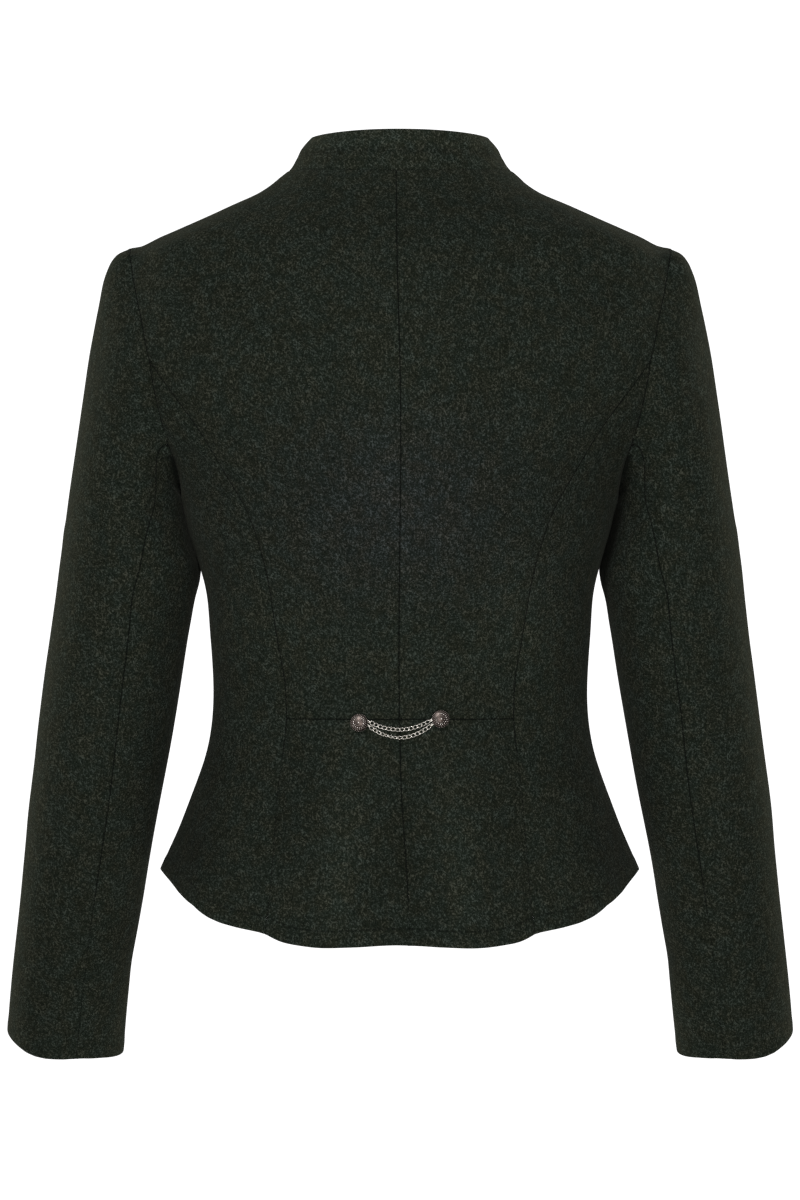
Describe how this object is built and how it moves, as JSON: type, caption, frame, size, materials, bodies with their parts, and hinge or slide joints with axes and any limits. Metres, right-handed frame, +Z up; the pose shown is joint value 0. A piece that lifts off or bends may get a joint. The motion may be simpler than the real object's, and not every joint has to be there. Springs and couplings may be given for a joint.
{
  "type": "tyrolean loden jacket",
  "caption": "Short fitted loden jacket with stand collar, princess seams, flared peplum, two-piece sleeves, metal buttons and a double chain across the back waist, held open as if worn.",
  "frame": {"origin": "middle of the neck base, level with the ends of the shoulder seams at the collar, where the wearer's shoulders and neck carry the jacket", "axes": "+Z up the garment towards the collar, -Y towards its front, +Y towards its back, +X towards the wearer's left"},
  "size_m": [0.5924, 0.2831, 0.6867],
  "materials": {
    "loden": "dark green melange wool loden, milled, with a short nap and paler flecks",
    "antique_silver": "antique silver, dark in its hollows and brighter on its ridges",
    "chain_silver": "pale, slightly warm polished silver"
  },
  "bodies": {
    "jacket": {"back_upper_left": "loden", "back_upper_right": "loden", "back_peplum_left": "loden", "back_peplum_right": "loden", "side_back_left": "loden", "side_back_right": "loden", "front_left": "loden", "front_right": "loden", "sleeve_top_left": "loden", "sleeve_top_right": "loden", "sleeve_under_left": "loden", "sleeve_under_right": "loden", "collar": "loden", "back_button_left": "antique_silver", "back_button_right": "antique_silver", "front_button_1": "antique_silver", "front_button_2": "antique_silver", "front_button_3": "antique_silver", "front_button_4": "antique_silver", "front_button_5": "antique_silver", "front_button_6": "antique_silver"},
    "chain_upper": {"chain_upper": "chain_silver"},
    "chain_lower": {"chain_lower": "chain_silver"}
  },
  "joints": [
    {"name": "chain_upper_swing", "type": "hinge", "parent": "jacket", "child": "chain_upper", "pos_m": [0.0001, 0.09577, -0.40628], "axis": [0.9998, 0.0002, -0.0204], "range_deg": [0, 95]},
    {"name": "chain_lower_swing", "type": "hinge", "parent": "jacket", "child": "chain_lower", "pos_m": [-0.00015, 0.09585, -0.4095], "axis": [0.9998, 0.0016, -0.0178], "range_deg": [0, 70]}
  ]
}
